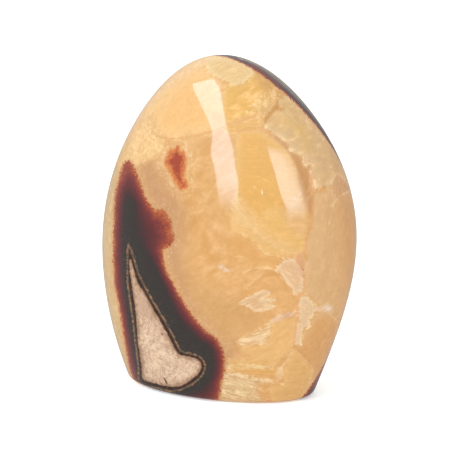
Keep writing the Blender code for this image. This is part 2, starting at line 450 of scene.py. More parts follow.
        (20.5, 41.9), (23, 41.2), (24.4, 38.3), (26.5, 36.9), (25.8, 35.1), (23.7, 35.5), (21.9, 37.6),
        (20.1, 39.7),
    ], change=1.0, soft=1.4, cover=0.7),
    "tufts": calcite("E7BB7D", "EBC186", [
        (8, 39.7), (9.8, 42.2), (11.9, 43.5), (14, 45.1), (16.2, 46.9), (18, 46.9), (18, 45.1), (15.8, 43.7),
        (13.7, 42.2), (12.8, 40.4), (13.3, 38), (11.9, 37.6), (10.5, 39.4), (8.7, 38.7),
    ], change=1.5, soft=0.8, ragged=1.8, grain="fine", streaks=2.0, cover=0.7, rim=0.3),
    "notch": calcite("C89655", "C48B4B", [
        (18.2, 44.2), (18.7, 42.6), (19.4, 41.2), (21, 41), (19.7, 40.1), (17.6, 39.7), (15.5, 37.6),
        (13.9, 35.5), (13.4, 36.5), (14, 38.5), (16.2, 41), (17.4, 42.9),
    ], change=0.8, soft=0.3, ragged=0.4, grain="fine", streaks=0.4, rim=0.2),
    "rightTan": calcite("D8AC7E", "D4A477", [
        (38.1, 15.1), (39.7, 17.3), (42.6, 14.4), (44, 11.9), (40.8, 9.8), (38.3, 8.4), (37.4, 11.9),
    ], change=1.0, ragged=1.0, streaks=1.8),
    "flakeUpper": calcite("E7C69F", "DCB287", [
        (17.7, -16.5), (19.4, -13.5), (21.5, -12.7), (24, -12.9), (26.2, -14.8), (27.3, -18), (27.3, -23.4),
        (26, -24.7), (24, -25.4), (23, -23.1), (20.7, -20.1), (19.1, -17.6),
    ], ragged=1.2, grain="falling", streaks=2.0, rim=0.12),
    "seamKnot": calcite("E4BD92", "CC997A", [
        (25.1, -10.2), (27.2, -11.2), (28.3, -15.1), (27.6, -19.4), (25.8, -18.7), (24.7, -14.4),
    ], change=0.8, soft=1.2, ragged=1.2, grain="fine", streaks=1.6, cover=0.5),
    "flakeLower": calcite("E8CAA1", "DDB890", [
        (26, -26.9), (28.3, -25.9), (30.6, -28.2), (31.9, -30.1), (31, -32.8), (29.5, -34.4), (29.3, -37.1),
        (27.3, -37.8), (26.5, -42.8), (24.2, -42.9), (24.1, -39.4), (25.7, -34.4), (25.9, -30.5),
    ], change=1.6, ragged=1.2, grain="fine", streaks=1.2, rim=0.15),
    "flakeTail": calcite("E3C6A9", "E8D0B7", [
        (31.5, -29.9), (33.6, -29.9), (35.9, -28.8), (37.7, -29.9), (37.2, -31.6), (34.4, -31), (31.9, -31),
    ], change=0.8, soft=0.9, ragged=0.4, grain="level", cover=0.9, rim=0.2),
    "darkStreakHigh": calcite("E6C184", "DCAB6B", [
        (0.9, -48.3), (6.9, -49), (12.6, -48.1), (18.7, -47.6), (18, -49.7), (11.2, -51.1), (4.8, -51.3),
        (1.2, -50.8),
    ], change=0.8, soft=1.0, ragged=0.9, grain="fibre", streaks=1.2, cover=0.8),
    "brightPatch": calcite("E3B77C", "E2B275", [
        (15.6, -39), (16.9, -35.5), (20.8, -34.2), (24.4, -34.4), (24.2, -39.7), (23.3, -44.7), (20.1, -47.6),
        (12.6, -47.9), (4.8, -45.8), (6.2, -43.8), (14, -43.1),
    ], soft=1.0, ragged=0.7, grain="rising", streaks=0.8),
    "featherMiddle": calcite("E3C299", "D7AD80", [
        (4.1, -28.7), (6.6, -26.9), (9.1, -25.7), (11.5, -24.5), (14, -23.8), (15.8, -24.2), (15.6, -25.3),
        (13.7, -26.4), (12.3, -27.5), (14.8, -27.1), (17.1, -26.8), (17.6, -27.6), (15.8, -28.3), (14, -29.2),
        (16.5, -29.3), (17.1, -30), (14.8, -30.8), (12.3, -31.4), (9.8, -31.2), (8.3, -30.2), (6.4, -29.6),
    ], change=1.5, soft=0.4, ragged=0.6, grain="feather", streaks=2.6, rim=0.2),
    "streakLow": calcite("DFB786", "E9C89D", [
        (2.9, -42.2), (7.2, -40.3), (10.5, -39), (14, -36.7), (16.2, -34.4), (15.3, -39), (14.1, -42.8),
        (11.5, -43.1), (6.2, -43.5),
    ], change=1.5, soft=0.4, grain="feather", streaks=1.6, cover=0.95, rim=0.25),
    "streakHigh": calcite("D9B08B", "DEB896", [
        (15.5, -34.7), (17.2, -33.1), (22.7, -31.5), (25.1, -32.1), (24, -33.3), (19.7, -34.2), (17.2, -35.1),
    ], change=0.8, soft=0.6, grain="rising", streaks=1.4, cover=0.9, rim=0.1),
    "paleStreak": calcite("D4A36B", "E2C088", [
        (-0.2, -51.5), (4.8, -51), (11.2, -50.2), (16.2, -51.1), (12.6, -52.6), (6.6, -52.6), (0.9, -53.3),
    ], change=0.8, soft=0.8, grain="fibre", streaks=1.4, cover=0.8),
    "darkStreakLow": calcite("E1B372", "DCA762", [
        (6.6, -52.4), (12.6, -52), (18, -52.2), (16.9, -53.8), (11.2, -53.6), (6.9, -53.6),
    ], change=0.8, soft=0.4, ragged=0.6, grain="level", streaks=0.8, cover=0.9),
    "paleFans": calcite("D6B07F", "DCBB8D", [
        (-0.9, -54.7), (4.1, -54), (10.5, -54.9), (16.2, -56.5), (12.6, -57.2), (11.2, -60), (12.6, -63.6),
        (4.8, -64.3), (-0.9, -63.6), (-2, -59.3),
    ], soft=1.2, ragged=1.0, grain="fibre", streaks=2.4, cover=0.95),
    "paleBit": calcite("DFB883", "E4C092", [
        (17.6, -54.7), (17.6, -51.9), (19.4, -50.8), (20.5, -52.6), (19.7, -55.4), (18.3, -55.8),
    ], change=0.8, ragged=0.6, cover=0.9, rim=0.15),
    "warmLow": calcite("E3B779", "DCAE72", [
        (20.5, -52.9), (23.3, -47.2), (25.8, -46.2), (29, -50.1), (30.1, -54.3), (29, -59), (26.2, -62.5),
        (17.2, -63.6), (15.5, -60), (16.9, -57.9), (20.5, -57.2),
    ], soft=0.8, ragged=0.5, grain="level", streaks=1.0, cover=0.9),
    "orangeSliver": calcite("D5A470", "D39C65", [
        (25.1, -43.7), (27.2, -45.1), (30.1, -48.6), (30.1, -51.5), (27.9, -49), (25.8, -46.9),
    ], change=0.8, ragged=0.5, grain="falling", streaks=0.4, cover=0.85),
    "whiteFleck": calcite("DAB593", "DFC2A7", [
        (-3.2, -15), (-1.6, -14.7), (0.1, -16), (1.4, -16.9), (0, -17.6), (-1.5, -16.4),
    ], change=0.6, soft=0.7, ragged=0.4, grain="falling", streaks=0.5, cover=0.9, rim=0.2),
}


# a thin crack, in mm: its colour, its line, its width, how far it strays and how strongly it covers
def thinCrack(colour, line, width=0.25, ragged=0.3, cover=0.5):
    return {"colour": colour, "line": line, "width": width, "ragged": ragged, "cover": cover}


stone["cracks"] = {
    "longCrack": thinCrack("DE9F66", [
        (-25.2, 31.3), (-22.3, 30.5), (-19.5, 30.1), (-15.5, 30.5), (-12.3, 31.2), (-6.6, 32.3), (-4.1, 33.1),
        (-0.7, 34.7), (1.3, 35.6), (5.2, 36.4), (8.5, 37.6), (11.2, 38.4), (13.3, 40.1), (15.5, 42.1),
        (17.8, 44.2),
    ], width=0.22, ragged=0.35, cover=0.7),
    "shortCrack": thinCrack("DBA05F", [(3.9, 32.5), (5.9, 33.1), (7.6, 33.9), (10.2, 33.8)], cover=0.8),
    "seam": thinCrack("DD9B72", [
        (29.4, 18.4), (31.1, 11.9), (30.6, 2.3), (30, -1.6), (28.3, -5.2), (28.3, -9.4), (25.3, -12.5),
        (26.7, -16.1), (27.7, -19.1), (27.3, -24.1), (26.2, -26.6), (25.4, -29.4), (25.7, -33), (24.7, -36.9),
        (24, -44.7),
    ], width=0.2, ragged=0.8, cover=0.6),
    "rightCrack": thinCrack("EACBA0", [
        (44.3, 11.9), (41.5, 10.2), (38.8, 8.2), (37.9, 5), (36.6, -0.3),
    ], width=0.22, ragged=0.25),
    "arcHigh": thinCrack("EDC892", [
        (3.2, -11.9), (5.2, -11.8), (8.5, -13.2),
    ], width=0.3, ragged=0.2, cover=0.45),
    "arcMiddle": thinCrack("EFCD98", [
        (5.6, -17.8), (9.1, -16.4), (13.2, -15.7), (17.7, -16.8),
    ], width=0.3, ragged=0.2, cover=0.55),
    "arcLow": thinCrack("ECC58D", [(7.6, -22.4), (9.8, -20.5), (12.2, -18.8)], ragged=0.2, cover=0.4),
    "arcRight": thinCrack("E8C79A", [
        (32.2, -30.5), (35.1, -31.5), (37.6, -33), (39.7, -35.1),
    ], width=0.3, cover=0.45),
    "forkLeft": thinCrack("ECC893", [
        (24, -45), (22.1, -48.3), (20.1, -50.6), (18.1, -53.2),
    ], width=0.35, ragged=0.35, cover=0.6),
    "forkRight": thinCrack("E9C591", [
        (24, -45), (26.7, -47.3), (30, -50.9), (30.4, -53.8), (29.4, -57.2),
    ], ragged=0.25),
    "forkFoot": thinCrack("ECCB97", [(15.5, -57.9), (18.1, -56.8), (21.4, -57.9)], cover=0.7),
    "bladeEdge": thinCrack("F5D9AC", [
        (4.8, -3.2), (7.6, -5.2), (10.8, -7.5), (13, -9.8), (15.8, -11.4), (20.8, -12.1),
    ], ragged=0.9, cover=0.25),
    "scratchLeft": thinCrack("FFEFC8", [(10.1, 13), (10.6, 11.6)], width=0.16, ragged=0.1, cover=0.9),
    "scratchRight": thinCrack("FFF2D2", [(12.4, 12.4), (13, 10)], width=0.18, ragged=0.1, cover=0.9),
    "streakLine": thinCrack("F0D3A0", [
        (4.8, -40.8), (10.1, -38.3), (14, -36.2), (16.5, -33.9),
    ], width=0.3, cover=0.4),
    "fanGold": thinCrack("D59B55", [
        (-2.4, -52.6), (4.8, -52.4), (12.6, -53.6),
    ], width=0.5, ragged=0.6, cover=0.35),
    "fanFoot": thinCrack("F3DBAE", [(-0.9, -59.7), (3.3, -59.7), (6.9, -61.1)], width=0.4, ragged=1.0),
    "fanLow": thinCrack("F1D8AA", [
        (-0.2, -57.2), (4.1, -57.2), (8.3, -57.9), (12.6, -59.3),
    ], width=0.35, ragged=1.0, cover=0.4),
    "fanMiddle": thinCrack("F5DFB4", [
        (-0.9, -54.3), (3, -54), (8.3, -54.7), (12.6, -55.8), (15.8, -56.1),
    ], width=0.4, ragged=1.0),
    "fanHigh": thinCrack("F0D6A6", [
        (-1.6, -50.8), (4.8, -50.4), (10.5, -51.1), (16.2, -51.9),
    ], width=0.35, ragged=1.0, cover=0.35),
}

# dark pits in the limestone wedge, and dark red dots in the seam
stone["pits"] = {
    "knotHigh": {"colour": "A8604C", "width": 0.25, "line": [(25.5, -12), (25.7, -12.4)]},
    "knotMiddle": {"colour": "A8604C", "width": 0.25, "line": [(26.6, -14.1), (26.6, -14.5)]},
    "knotLow": {"colour": "A8604C", "width": 0.3, "line": [(26.9, -15.9), (27.3, -16.6)]},
    "knotSide": {"colour": "B06A55", "width": 0.25, "line": [(24.4, -13.1), (24.7, -13.3)]},
    "knotFoot": {"colour": "B06A55", "width": 0.25, "line": [(27.6, -18.4), (27.6, -18.9)]},
    "pitHigh": {"colour": "7A4A3C", "width": 0.35, "line": [(-23.2, -39), (-22.7, -39.8)]},
    "pitMiddle": {"colour": "B5664C", "width": 0.25, "line": [(-23.5, -46.8), (-23.3, -47.6)]},
    "pitLow": {"colour": "4A352E", "width": 0.35, "line": [(-22.3, -55.2), (-21.6, -56.2), (-21.3, -57.3)]},
}


# how far the values have come from the first end of a range to its last, from 0 to 1
def shareOf(values, first, last):
    return np.clip((values - first) / (last - first), 0, 1)


distances = {name: frontDistance(outline) for name, outline in stone["outlines"].items()}
depthInBlocks, coreOfBlocks, shareInBlocks = blockDepths(stone["blocks"])

# the aragonite's share runs from 0 at its outer edge to 1 at the black core, on the front and on the blocks
skin = np.clip(bands["blackFrom"] - distances["blackCore"], 0, None)
band = np.clip(distances["brownBand"], 0, None)
frontShare = band / (band + skin + 0.01)  # the last bit keeps it from dividing by nothing
distances["aragonite"] = np.maximum(distances["brownBand"], depthInBlocks)
distances["blackness"] = np.maximum(frontShare, shareInBlocks)
distances["limestone"] = np.maximum(distances["wedge"], coreOfBlocks)
distances["grey"] = shareOf(depthInBlocks, *bands["greyRange"])
distances["behind"] = shareOf(facing, *bands["behindRange"])
copper = distances["copperLine"]
distances["copper"] = np.where(facing < 0, np.maximum(copper, coreOfBlocks + bands["copperGap"]), copper)
for name in ("brownBand", "blackCore", "copperLine", "wedge"):
    del distances[name]  # the material doesn't read these
for name, patch in stone["patches"].items():
    distances[name] = frontDistance(patch["outline"])
for name, crack in {**stone["cracks"], **stone["pits"]}.items():
    distances[name] = frontDistance(crack["line"], closed=False)
print("markings measured:", len(distances))


def makeStone():
    mesh = bpy.data.meshes.new("septarian_stone")
    mesh.from_pydata((points * mm).tolist(), [], gridFaces(rows, columns))
    mesh.update()
    mesh.shade_smooth()
    for name, values in distances.items():
        mesh.attributes.new(name, "FLOAT", "POINT").data.foreach_set("value", values.astype(np.float32))
    made = bpy.data.objects.new("septarian_stone", mesh)
    bpy.context.scene.collection.objects.link(made)
    return made


stonePiece = makeStone()
print("stone made:", len(stonePiece.data.polygons), "faces")


# One wire of a shader. Sums on wires add Math nodes, and node() adds any other kind.
class Wire:
    def __init__(self, tree, socket=None):
        self.tree = tree
        self.socket = socket

    # settings are set first, then sockets are given values or wires; stops are a ramp's places and colours
    def node(self, kind, settings, sockets, output=0):
        made = self.tree.nodes.new(kind)
        for name, value in settings.items():
            if name == "stops":
                ramp = made.color_ramp.elements
                while len(ramp) < len(value):
                    ramp.new(1.0)
                for stop, (place, colour) in zip(ramp, value):
                    stop.position = place
                    stop.color = colour
            else:
                setattr(made, name, value)
        for name, value in sockets.items():
            if isinstance(value, Wire):
                self.tree.links.new(value.socket, made.inputs[name])
            else:
                made.inputs[name].default_value = value
        return Wire(self.tree, made.outputs[output]) if len(made.outputs) else None

    def maths(self, operation, a, b=0.0):
        return self.node("ShaderNodeMath", {"operation": operation}, {0: a, 1: b})

    def __add__(self, other):
        return self.maths("ADD", self, other)

    def __radd__(self, other):
        return self.maths("ADD", other, self)

    def __sub__(self, other):
        return self.maths("SUBTRACT", self, other)

    def __rsub__(self, other):
        return self.maths("SUBTRACT", other, self)

    def __mul__(self, other):
        return self.maths("MULTIPLY", self, other)

    def __rmul__(self, other):
        return self.maths("MULTIPLY", other, self)

    def __truediv__(self, other):
        return self.maths("DIVIDE", self, other)

    def __abs__(self):
        return self.maths("ABSOLUTE", self)

    # this wire and so much of another
    def plus(self, other, factor):
        return self.node("ShaderNodeMath", {"operation": "MULTIPLY_ADD"}, {0: other, 1: factor, 2: self})

    # 0 below low, 1 above high and a smooth rise between, or a fall where low is the higher one
    def rise(self, low, high):
        return self.node("ShaderNodeMapRange", {"interpolation_type": "SMOOTHSTEP"},
                         {"Value": self, "From Min": low, "From Max": high})

    # one colour turning into another by this share
    def blend(self, first, second):
        return self.node("ShaderNodeMix", {"data_type": "RGBA"}, {0: self, 6: first, 7: second}, output=2)

    # a colour made brighter or darker by this factor
    def brighten(self, colour):
        return self.node("ShaderNodeVectorMath", {"operation": "SCALE"}, {0: colour, "Scale": self})


# The grains that the minerals' textures are mixed from: slope in degrees as seen from the view point, length
# and width in mm, levels of detail, and a shift in mm that keeps any two from being alike
stone["grains"] = {
    "fine": (0.0, 1.3, 1.3, 3.0, 0.0),
    "level": (-7.0, 13.0, 1.0, 2.0, 0.0),
    "rising": (24.0, 9.0, 1.4, 2.0, 0.0),
    "falling": (-32.0, 8.0, 1.2, 2.0, 0.0),
    "upright": (80.0, 9.0, 1.3, 2.0, 0.0),
    "feather": (30.0, 4.0, 0.6, 3.0, 12.0),
    "fibre": (-10.0, 3.4, 0.5, 3.0, 91.0),
    "cloud": (0.0, 14.0, 11.0, 3.0, 31.0),
    "mottled": (30.0, 4.0, 3.0, 3.0, 53.0),
    "tiny": (0.0, 0.45, 0.45, 3.0, 77.0),
}

# Colours as seen on the lit stone, and how strongly the textures cover what lies under them
stone["finish"] = {
    "light": (1.31, 1.39, 1.48),  # how bright a white surface would stand in this light: red, green, blue
    "sheen": 0.02,  # what the polish adds to every colour
    "drift": 0.012,  # m, how far grains and cells curve
    "driftScale": 45.0,  # how closely, per m
    "calciteDark": "D6A064", "calcitePale": "E0AF76",
    "milk": "F7E0B8", "wisps": 0.1, "milkCover": 0.26,
    "honey": "DD9F55", "honeyCover": 0.3,
    "rim": "F8E2B8",
    "facets": {  # cells of the calcite at the back; scale is cells per m
        "scale": 42.0, "deep": "D29A58", "pale": "F0CF98", "cover": 0.85, "ridgeCover": 0.7,
        "vein": "C98B5C", "veinCover": 0.55,
    },
    "rustPale": "D5824F", "rustDark": "A54D3A", "rustHalo": "F3DBB0", "haloCover": 0.7,
    "brownStops": [  # from the aragonite's outer edge to its core
        (0.0, "BC6E48"), (0.1, "A2543F"), (0.28, "80423F"), (0.48, "693B3B"), (0.66, "5A3A3B"),
        (0.84, "483B3B"), (1.0, "413D3A"),
    ],
    "fringeCover": 0.45, "bulgeRed": 0.08, "stain": "74403F",
    "speck": "9A8676", "speckCover": 0.8,
    "copper": "B07F59", "copperGrey": "857C69", "darkLine": "352B28", "brownLine": "5C4238",
    "wedgePale": "F0D4B4", "wedge": "CBA88D", "wedgeDark": "96745D", "wedgeEdge": "A68468",
    "creamLow": 0.74,  # how much creamier the wedge's lower part is
    "greyPale": "B8A792", "greyDark": "8F8172", "greyEdge": "55524F",
    "hairline": "D9BC93", "hairScale": 24.0, "hairCover": 0.7,
    "pits": 0.00006,  # m, depth of the limestone's pits
    "pitCover": 0.85,
    "calciteRoughness": 0.06, "limestoneRoughness": 0.2, "ior": 1.5,
}
finish = stone["finish"]


# a colour as seen on the lit stone, turned into the colour of its surface: the screen's curve is undone,
# then the sheen is taken off and the rest divided by the light
def paint(code):
    seen = np.array([int(code[i:i + 2], 16) for i in (0, 2, 4)]) / 255
    linear = np.where(seen < 0.04045, seen / 12.92, ((seen + 0.055) / 1.055) ** 2.4)
    surface = np.clip((linear - finish["sheen"]) / finish["light"], 0.002, 0.95)
    return (*surface, 1.0)


# a distance or share that the surface carries
def measured(start, name):
    return start.node("ShaderNodeAttribute", {"attribute_name": name}, {}, output=2)


# the place on the stone moved about by up to a few mm, so that grains and cells curve
def driftingPlace(start):
    place = start.node("ShaderNodeTexCoord", {}, {}, output=3)
    noise = {"Vector": place, "Scale": finish["driftScale"], "Detail": 1.0}
    drift = start.node("ShaderNodeTexNoise", {}, noise, output=1)
    drift = start.node("ShaderNodeVectorMath", {"operation": "SUBTRACT"}, {0: drift, 1: (0.5, 0.5, 0.5)})
    drift = start.node("ShaderNodeVectorMath", {"operation": "SCALE"}, {0: drift, "Scale": finish["drift"]})
    return start.node("ShaderNodeVectorMath", {"operation": "ADD"}, {0: place, 1: drift})


# noise drawn out along a slope of the picture, from about -1 to 1
def makeGrain(place, slope, length, width, detail, shift):
    along = right * cos(radians(slope)) + up * sin(radians(slope))
    across = up * cos(radians(slope)) - right * sin(radians(slope))
    turn = Matrix((along, across, back)).transposed().to_euler()
    turned = place.node("ShaderNodeMapping", {"vector_type": "TEXTURE"}, {
        "Vector": place, "Rotation": turn, "Location": (shift * mm,) * 3,
        "Scale": (length * mm, width * mm, width * mm),
    })
    noise = {"Vector": turned, "Scale": 1.0, "Detail": detail, "Roughness": 0.6}
    return (place.node("ShaderNodeTexNoise", {}, noise) - 0.5) * 4.0


# clouds of two tones, with milky wisps
def cloudedCalcite(cloud, mottled, rising):
    colour = (cloud * 0.8 + mottled * 0.3).rise(-1.2, 1.2)
    colour = colour.blend(paint(finish["calciteDark"]), paint(finish["calcitePale"]))
    wisp = (rising * 0.7 + mottled).rise(-0.6, 1.8) * finish["wisps"]
    return wisp.blend(colour, paint(finish["milk"]))


# behind, where no patch is drawn, cells of the calcite differ in tone and have pale ridges and thin veins
def cellsBehind(place, grains, colour):
    facets, fine, mottled = finish["facets"], grains["fine"], grains["mottled"]
    behind = measured(place, "behind")
    cells = {"Vector": place, "Scale": facets["scale"]}
    tint = place.node("ShaderNodeTexVoronoi", {"feature": "F1"}, cells, output=1)
    tint = place.node("ShaderNodeSeparateColor", {}, {"Color": tint})
    border = place.node("ShaderNodeTexVoronoi", {"feature": "DISTANCE_TO_EDGE"}, cells)
    border = border + fine * 0.02 + mottled * 0.02
    tint = tint + grains["upright"] * 0.1 + (0.12 - border)
    tint = tint.blend(paint(facets["deep"]), paint(facets["pale"]))
    colour = (behind * facets["cover"]).blend(colour, tint)
    ridge = abs(border - 0.03).rise(0.04, 0.0) * (fine + mottled).rise(-0.6, 0.9)
    colour = (ridge * behind * facets["ridgeCover"]).blend(colour, paint(finish["rim"]))
    vein = abs(border).rise(0.02, 0.0) * behind * facets["veinCover"]
    return vein.blend(colour, paint(facets["vein"]))


# Each patch over the ones before it: its edge strays with its grain, and its rim is broken into shreds.
# The shimmer is the grain of the patch that lies on top.
def patchesOver(grains, colour):
    fine, mottled = grains["fine"], grains["mottled"]
    used = {patch["grain"] for patch in stone["patches"].values()}
    rough, shreds = {}, {}
    for name, lines in grains.items():
        if name in used:
            rough[name] = lines * 0.4 + fine * 0.5 + mottled * 0.3
            shreds[name] = (lines * 0.6 + fine * 0.6 + mottled * 0.9).rise(-0.3, 1.1)
    shade = mottled * 0.15
    shimmer = grains["rising"] * 0.4
    for name, patch in stone["patches"].items():
        lines = grains[patch["grain"]]
        inside = measured(fine, name).plus(rough[patch["grain"]], patch["ragged"])
        cover = inside.rise(-patch["soft"], patch["soft"]) * patch["cover"]
        tone = shade.plus(inside.rise(0.0, patch["change"]), 0.85).plus(lines, patch["streaks"] * 0.3)
        colour = cover.blend(colour, tone.blend(paint(patch["edge"]), paint(patch["middle"])))
        shimmer = (shimmer * (1 - cover)).plus(lines, cover * patch["streaks"])
        if patch["rim"]:
            near = abs(inside - 0.3).rise(0.9, 0.0)
            colour = (near * shreds[patch["grain"]] * patch["rim"]).blend(colour, paint(finish["rim"]))
    return colour, shimmer


# each crack bends and breaks as it goes
def cracksOver(fine, mottled, colour):
    bend = fine * 0.5 + mottled * 0.6
    breaks = (fine * 0.6 + mottled).rise(-2.4, 0.2)
    for name, crack in stone["cracks"].items():
        gap = abs(measured(fine, name).plus(bend, crack["ragged"]))
        cover = gap.rise(crack["width"] * 2.2, crack["width"] * 0.3) * breaks * crack["cover"]
        colour = cover.blend(colour, paint(crack["colour"]))
    return colour


# crystal texture over all of the calcite: milky and honey-coloured streaks along each patch's grain
def crystalsOver(grains, shimmer, colour):
    fine, mottled = grains["fine"], grains["mottled"]
    milky = (shimmer * 0.8 + mottled * 0.35 + fine * 0.35).rise(-0.2, 2.0) * finish["milkCover"]
    colour = milky.blend(colour, paint(finish["milk"]))
    honey = (shimmer * -0.7 - grains["cloud"] * 0.6 - fine * 0.3).rise(0.0, 2.0) * finish["honeyCover"]
    colour = honey.blend(colour, paint(finish["honey"]))
    texture = 1.0 + shimmer * 0.065 + fine * 0.045 + grains["tiny"] * 0.045 + mottled * 0.04
    return texture.brighten(colour)


# the rust spot, darker in its middle, with cream flecks round it
def rustOver(grains, colour):
    fine, tiny = grains["fine"], grains["tiny"]
    rust = measured(fine, "rustSpot") + fine * 0.7 + tiny * 0.45 + grains["upright"] * 0.3 + 0.2
    halo = (rust + 2.4).rise(-1.4, 1.4) * (tiny * 0.4 + fine * 0.8).rise(-0.2, 1.0) * finish["haloCover"]
    colour = halo.blend(colour, paint(finish["rustHalo"]))
    tone = (rust / 2.8 + fine * 0.16 + grains["mottled"] * 0.14).rise(0.05, 0.95)
    tone = tone.blend(paint(finish["rustPale"]), paint(finish["rustDark"]))
    return rust.rise(-0.6, 0.6).blend(colour, tone)


# aragonite, red-brown at its toothed edge and black at its core, with a few specks near the limestone
def aragoniteOver(grains, ragged, colour):
    fine, fibre, mottled, tiny = (grains[name] for name in ("fine", "fibre", "mottled", "tiny"))
    inside = measured(fine, "aragonite") + ragged * 0.85 + 0.25
    fringe = (inside + fibre).rise(-2.6, -0.6) * (fibre + tiny * 0.5).rise(0.0, 1.2) * finish["fringeCover"]
    colour = fringe.blend(colour, paint(finish["rustHalo"]))
    share = measured(fine, "blackness") + ragged * 0.15 + mottled * 0.05 + 0.04
    share = share - measured(fine, "bulge").rise(-1.5, 2.0) * finish["bulgeRed"]
    stops = [(at, paint(code)) for at, code in finish["brownStops"]]
    dark = fine.node("ShaderNodeValToRGB", {"stops": stops}, {"Fac": share})
    near = (measured(fine, "copper") + 5.0 + grains["upright"]).rise(0.0, 5.0)
    specks = (tiny + fine * 0.3).rise(0.4, 1.2) * near * finish["speckCover"]
    dark = specks.blend(dark, paint(finish["speck"]))
    dark = (1.0 + fibre * 0.1 + tiny * 0.05 + mottled * 0.06).brighten(dark)
    return inside.rise(-0.35, 0.4).blend(colour, dark)


# a broken copper line with a dark brown line inside it
def linesOver(fine, tiny, colour):
    copper = measured(fine, "copper") + tiny * 0.22 + fine * 0.14
    within = copper.rise(0.35, 0.7)
    broken = (tiny * 0.9 + fine * 0.6).rise(-0.7, 0.8)
    metal = fine.rise(-0.6, 0.6).blend(paint(finish["copperGrey"]), paint(finish["copper"]))
    colour = (copper.rise(-0.35, 0.0) * (1 - within) * broken).blend(colour, metal)
    brown = (fine * 0.7 + tiny * 0.5).rise(-0.8, 1.0)
    brown = brown.blend(paint(finish["darkLine"]), paint(finish["brownLine"]))
    return (within * (1 - measured(fine, "grey"))).blend(colour, brown)


# limestone: warm in the wedge on the front, and creamier low down; grey at the back, with pale hairlines
def limestone(place, grains, lime):
    fine, mottled = grains["fine"], grains["mottled"]
    grit = grains["tiny"] * 0.55 + fine * 0.4 + grains["upright"] * 0.25
    warm = grit.rise(-1.2, 0.2).blend(paint(finish["wedgeDark"]), paint(finish["wedge"]))
    cream = (measured(place, "wedgeLow") / 3.0).rise(-1.0, 1.0) * finish["creamLow"]
    warm = (grit + mottled * 0.25 + cream).rise(0.1, 1.5).blend(warm, paint(finish["wedgePale"]))
    inner = (measured(place, "limestone") + fine * 0.7 + mottled * 0.6).rise(0.0, 1.4)
    warm = inner.blend(paint(finish["wedgeEdge"]), warm)
    cold = (grit * 0.6 + mottled * 0.5 + grains["cloud"] * 0.4).rise(-1.2, 1.2)
    cold = cold.blend(paint(finish["greyDark"]), paint(finish["greyPale"]))
    cold = (lime + mottled * 0.6 + fine * 0.3).rise(-0.4, 5.0).blend(paint(finish["greyEdge"]), cold)
    plates = {"Vector": place, "Scale": finish["hairScale"]}
    hair = place.node("ShaderNodeTexVoronoi", {"feature": "DISTANCE_TO_EDGE"}, plates)
    hair = (hair + fine * 0.004).rise(0.016, 0.006) * (fine + mottled).rise(-1.4, 0.4) * finish["hairCover"]
    cold = hair.blend(cold, paint(finish["hairline"]))
    return measured(place, "grey").blend(warm, cold)


def pitsOver(fine, colour):
    for name, pit in stone["pits"].items():
        gap = abs(measured(fine, name).plus(fine, 0.15))
        cover = gap.rise(pit["width"] * 1.4, pit["width"] * 0.4) * finish["pitCover"]
        colour = cover.blend(colour, paint(pit["colour"]))
    return colour


# the minerals one over the other, under one polish; the limestone is duller and finely pitted
def stoneMaterial():
    material = bpy.data.materials.new("polished_septarian")
    material.use_nodes = True
    material.node_tree.nodes.clear()
    start = Wire(material.node_tree)
    place = driftingPlace(start)
    grains = {name: makeGrain(place, *lines) for name, lines in stone["grains"].items()}
    fine, fibre, mottled, tiny = (grains[name] for name in ("fine", "fibre", "mottled", "tiny"))

    colour = cloudedCalcite(grains["cloud"], mottled, grains["rising"])
    colour = cellsBehind(place, grains, colour)
    colour, shimmer = patchesOver(grains, colour)
    colour = cracksOver(fine, mottled, colour)
    colour = crystalsOver(grains, shimmer, colour)
    colour = rustOver(grains, colour)
    ragged = fine * 0.4 + tiny * 0.35 + fibre * 0.9 + mottled * 0.15
    colour = aragoniteOver(grains, ragged, colour)
    colour = linesOver(fine, tiny, colour)
    lime = measured(start, "limestone") + tiny * 0.14 + fine * 0.12
    limeMask = lime.rise(-0.2, 0.2)
    colour = limeMask.blend(colour, limestone(place, grains, lime))
    stain = (measured(start, "rimStain") + ragged * 0.6).rise(-0.3, 0.4)
    colour = stain.blend(colour, paint(finish["stain"]))
    colour = pitsOver(fine, colour)

    duller = finish["limestoneRoughness"] - finish["calciteRoughness"]
    pits = {"Strength": 1.0, "Distance": finish["pits"], "Height": tiny.rise(-1.5, -0.6) * limeMask}
    shader = start.node("ShaderNodeBsdfPrincipled", {}, {
        "Base Color": colour,
        "Roughness": limeMask * duller + finish["calciteRoughness"],
        "Normal": start.node("ShaderNodeBump", {}, pits),
        "IOR": finish["ior"],
    })
    start.node("ShaderNodeOutputMaterial", {}, {"Surface": shader})
    return material


stonePiece.data.materials.append(stoneMaterial())
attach(stonePiece, "root")
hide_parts("stone")
print("stone finished")

floor = {
    "half": 4000.0,  # mm from its middle to each side
    "gap": 0.1,  # mm under the stone's foot
    "colour": (0.97, 0.93, 0.88, 1.0),  # warm enough to make up for the panels' cool light
    "roughness": 0.6,
    "glow": 0.3,
}


def makeFloor():
    half, low = floor["half"] * mm, -floor["gap"] * mm
    mesh = bpy.data.meshes.new("floor")
    corners = [(-half, -half, low), (half, -half, low), (half, half, low), (-half, half, low)]
    mesh.from_pydata(corners, [], [(0, 1, 2, 3)])
    material = bpy.data.materials.new("pale_floor")
    material.use_nodes = True
    shader = material.node_tree.nodes["Principled BSDF"]
    shader.inputs["Base Color"].default_value = floor["colour"]
    shader.inputs["Roughness"].default_value = floor["roughness"]
    shader.inputs["Emission Color"].default_value = floor["colour"]
    shader.inputs["Emission Strength"].default_value = floor["glow"]
    mesh.materials.append(material)
    made = bpy.data.objects.new("floor", mesh)
    bpy.context.scene.collection.objects.link(made)
    made.visible_glossy = False  # the stone's edges mirror the room's dimmer sides, not the floor


